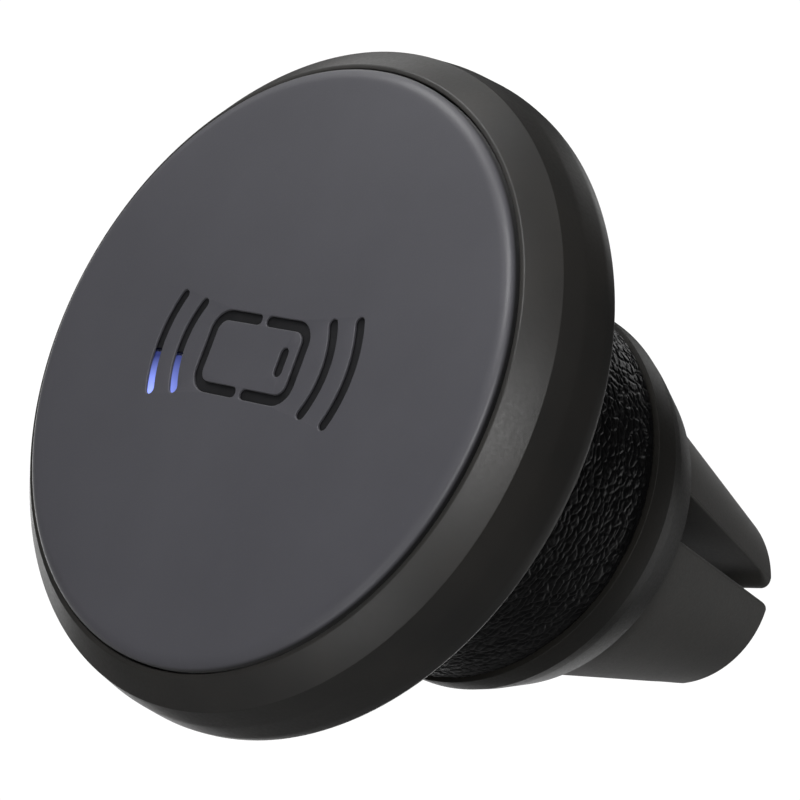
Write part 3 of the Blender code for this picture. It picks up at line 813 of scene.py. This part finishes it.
# ----------------------------------------------------------------------- base
def base_ring():
    pts = [(8.3, 16.4, 0.1), (9.3, 16.4, 0.1), (9.6, 16.7, 0.1), (9.6, 22.13), (12.98, 22.13, 0.05),
           (12.96, 23.99, 0.22), (12.66, 25.1, 0.4), (11.71, 27.87, 0.12), (11.25, 27.87, 0.08),
           (11.25, 25.0), (1.55, 25.0), (1.55, 24.85), (2.85, 23.5), (5.6, 23.5), (5.6, 21.95), (8.3, 21.95)]
    ob = lathe("faceted_collar_ring", rounded(pts, FINE + 1), SEG, MAT["ring"])
    place(ob, "base", "base_ring", slot="ring_plastic")
    ob = lathe("clip_hub_disc", rounded([(1.55, 25.25), (10.9, 25.25, 0.1), (10.9, 26.5, 0.12), (1.55, 26.5)]),
               SEG_IN, MAT["ring"])
    place(ob, "base", "clip_hub", slot="ring_plastic")


def corner(p, pa, pb, f, k):
    """Points of the arc of radius f that rounds corner p between the directions to pa and pb."""
    p, pa, pb = Vector(p), Vector(pa), Vector(pb)
    da, db = (pa - p).normalized(), (pb - p).normalized()
    half = 0.5 * da.angle(db)
    tt = f / math.tan(half)
    cc = p + (da + db).normalized() * (f / math.sin(half))
    q0, q1 = p + da * tt, p + db * tt
    t0 = math.atan2(q0.y - cc.y, q0.x - cc.x)
    t1 = math.atan2(q1.y - cc.y, q1.x - cc.x)
    dd = (t1 - t0 + math.pi) % (2 * math.pi) - math.pi
    return [(cc.x + f * math.cos(t0 + dd * i / k), cc.y + f * math.sin(t0 + dd * i / k)) for i in range(k + 1)]


def ease(t):
    t = min(1.0, max(0.0, t))
    return t * t * (3 - 2 * t)


def prongs():
    """Quarters of the slotted cone: rounded edges, and a catch across one face at the tip."""
    y_root, y_cone, y_tip = 26.8, 27.83, 46.85
    r0, r1 = 10.93, 6.75
    nose = 0.32

    def slot_half(y):
        return 1.62 + (0.79 - 1.62) * (y - y_root) / (y_tip - y_root)

    def radius(y):
        return r0 if y <= y_cone else r0 + (r1 - r0) * (y - y_cone) / (y_tip - y_cone)

    arc = 44
    ys = [y_root, y_root + 0.06, y_cone - 0.15, y_cone + 0.15]
    ys += list(np.linspace(y_cone + 1.0, 44.0, 12))
    ys += list(np.linspace(44.3, 46.4, 12))
    for k in range(0, 7):
        a = 0.5 * math.pi * k / 6
        ys.append(y_tip - nose + nose * math.sin(a))
    for deg, name, node, body in ((45.0, "silicone_prong_a", "prong_upper_right", "prong_ur"),
                                  (135.0, "silicone_prong_b", "prong_upper_left", "prong_ul"),
                                  (225.0, "silicone_prong_c", "prong_lower_left", "prong_ll"),
                                  (315.0, "silicone_prong_d", "prong_lower_right", "prong_lr")):
        rot = math.radians(deg - 45.0)
        c, s = math.cos(rot), math.sin(rot)
        bm = bmesh.new()
        rings = []
        for y in ys:
            t = max(0.0, (y - (y_tip - nose)) / nose)
            inset = nose * (1 - math.sqrt(max(0.0, 1 - t * t))) if t > 0 else 0.0
            if y <= y_root + 1e-6:
                inset = 0.06
            catch = ease((y - 44.3) / 2.0)
            lead = 0.16 * max(0.0, (y - 45.9) / 0.95) ** 2
            w = slot_half(y) + inset * 0.6 + lead
            low = slot_half(y) * (1 - catch) + 0.27 * catch + inset * 0.6
            r = radius(y) - inset
            fa = 0.16 + 0.5 * catch
            fb = 0.30
            a0 = math.asin(low / r)
            b0 = math.asin(w / r)
            pa = (r * math.cos(a0), low)
            pb = (w, r * math.cos(b0))
            sector = corner((w, low), (w, low + 3), (w + 3, low), 0.22, 5)
            near = (r * math.cos(a0 + 0.16), r * math.sin(a0 + 0.16))
            sector += corner(pa, (w, low), near, fa, 7)
            e0 = a0 + fa * 1.02 / r + 0.004
            e1 = math.pi / 2 - (b0 + fb * 1.02 / r + 0.004)
            for i in range(arc + 1):
                a = e0 + (e1 - e0) * i / arc
                sector.append((r * math.cos(a), r * math.sin(a)))
            near2 = (r * math.sin(b0 + 0.16), r * math.cos(b0 + 0.16))
            sector += corner(pb, near2, (w, low), fb, 7)
            rings.append([bm.verts.new((x * c - z * s, y, x * s + z * c)) for x, z in sector])
        for lo, hi in zip(rings, rings[1:]):
            n = len(lo)
            for i in range(n):
                j = (i + 1) % n
                bm.faces.new((lo[i], lo[j], hi[j], hi[i]))
        bm.faces.new(rings[0][::-1])
        bm.faces.new(rings[-1])
        ob = from_bmesh(name, bm, MAT["rubber"], 42.0)
        place(ob, body, node, slot="clip_rubber")


# -------------------------------------------------------------- stage and light
def area(name, loc, target, size, power, color=(1, 1, 1), size_y=None):
    data = bpy.data.lights.new(name, "AREA")
    data.energy = power
    data.color = color
    data.size = size
    if size_y:
        data.shape = "RECTANGLE"
        data.size_y = size_y
    ob = bpy.data.objects.new(name, data)
    bpy.context.scene.collection.objects.link(ob)
    ob.location = loc
    ob.rotation_mode = "QUATERNION"
    ob.rotation_quaternion = (Vector(target) - Vector(loc)).to_track_quat("-Z", "Y")
    ob.visible_camera = False
    return ob


def stage():
    bm = bmesh.new()
    s, z = 1.6, -0.120
    vs = [bm.verts.new(p) for p in ((-s, -s, z), (s, -s, z), (s, s, z), (-s, s, z))]
    bm.faces.new(vs)
    me = bpy.data.meshes.new("floor")
    bm.to_mesh(me)
    bm.free()
    ob = bpy.data.objects.new("floor", me)
    bpy.context.scene.collection.objects.link(ob)
    mat = bpy.data.materials.new("floor_white")
    mat.use_nodes = True
    b = mat.node_tree.nodes["Principled BSDF"]
    b.inputs["Base Color"].default_value = (0.30, 0.30, 0.30, 1)
    b.inputs["Roughness"].default_value = 0.9
    b.inputs["Emission Color"].default_value = (1.0, 1.0, 1.0, 1)
    # pale to the eye, without throwing light up at the mount
    seen = mat.node_tree.nodes.new("ShaderNodeLightPath")
    glow = mat.node_tree.nodes.new("ShaderNodeMath")
    glow.operation = "MULTIPLY"
    glow.inputs[1].default_value = 0.80
    mat.node_tree.links.new(seen.outputs["Is Camera Ray"], glow.inputs[0])
    mat.node_tree.links.new(glow.outputs[0], b.inputs["Emission Strength"])
    me.materials.append(mat)

    world = bpy.data.worlds.new("studio")
    bpy.context.scene.world = world
    world.use_nodes = True
    nt = world.node_tree
    bg = nt.nodes["Background"]
    bg.inputs["Color"].default_value = (1, 1, 1, 1)
    bg.inputs["Strength"].default_value = 0.03
    white = nt.nodes.new("ShaderNodeBackground")
    white.inputs["Color"].default_value = (1, 1, 1, 1)
    white.inputs["Strength"].default_value = 1.05
    path = nt.nodes.new("ShaderNodeLightPath")
    mixer = nt.nodes.new("ShaderNodeMixShader")
    nt.links.new(path.outputs["Is Camera Ray"], mixer.inputs[0])
    nt.links.new(bg.outputs[0], mixer.inputs[1])
    nt.links.new(white.outputs[0], mixer.inputs[2])
    nt.links.new(mixer.outputs[0], nt.nodes["World Output"].inputs["Surface"])

    # soft boxes: azimuth and elevation seen from the mount, distance, width, height, watts
    for name, az, el, dist, size, high, watts in LIGHTS:
        a, e = math.radians(az), math.radians(el)
        d = Vector((math.sin(a) * math.cos(e), -math.cos(a) * math.cos(e), math.sin(e)))
        area(name, Vector((0.0, 0.015, 0.0)) + d * dist, (0.0, 0.015, 0.0), size, watts, size_y=high)


LIGHTS = (
    ("backdrop", -140, 5, 0.45, 0.40, 0.30, 0.600),
    ("right", 38, 0, 0.45, 0.13, 0.13, 0.540),
    ("side", 80, 12, 0.45, 0.13, 0.13, 0.060),
    ("right_high", 68, 58, 0.45, 0.13, 0.13, 0.080),
    ("left", -100, 0, 0.45, 0.13, 0.13, 0.120),
    ("back_left", -110, 15, 0.45, 0.13, 0.13, 0.120),
    ("left_high", -97, 58, 0.45, 0.13, 0.13, 0.100),
    ("top_back", -130, 70, 0.45, 0.13, 0.13, 0.086),
    ("back_high", -175, 42, 0.45, 0.12, 0.12, 0.085),
    ("back_strip", 166, -2, 0.45, 0.04, 0.25, 0.120),
    ("key", 14, 27, 0.125, 0.04, 0.04, 0.0590),
    ("front_high", -22, 50, 0.13, 0.045, 0.045, 0.0450),
    ("low_right", 34, -14, 0.13, 0.045, 0.045, 0.0230),
    ("top", 5, 68, 0.13, 0.045, 0.045, 0.0120),
    ("front_left", -55, 42, 0.13, 0.045, 0.045, 0.0060),
    ("under", 10, -42, 0.12, 0.05, 0.05, 0.0185),
    ("rim_low", -5, -18, 0.13, 0.03, 0.03, 0.0095),
)


def cad_materials():
    """Sealed pieces keep their CAD shape and get a worked material."""
    table = {"adhesive_disc": "adhesive", "magnet_carrier": "carrier", "yoke_plate": "steel",
             "stem_screw": "screw", "slip_ring": "slip", "spring_washer": "steel", "hub_screw": "screw"}
    for i in range(6):
        table[f"magnet_{i + 1}"] = "magnet"
    for node, key in table.items():
        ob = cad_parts[node]
        ob.data.materials.clear()
        ob.data.materials.append(MAT[key])


make_camera()
face_pad()
head_shell()
emblem()
rear_cover()
cover_screws()
ball_joint()
collar_nut()
leather_sleeve()
base_ring()
prongs()
cad_materials()
stage()
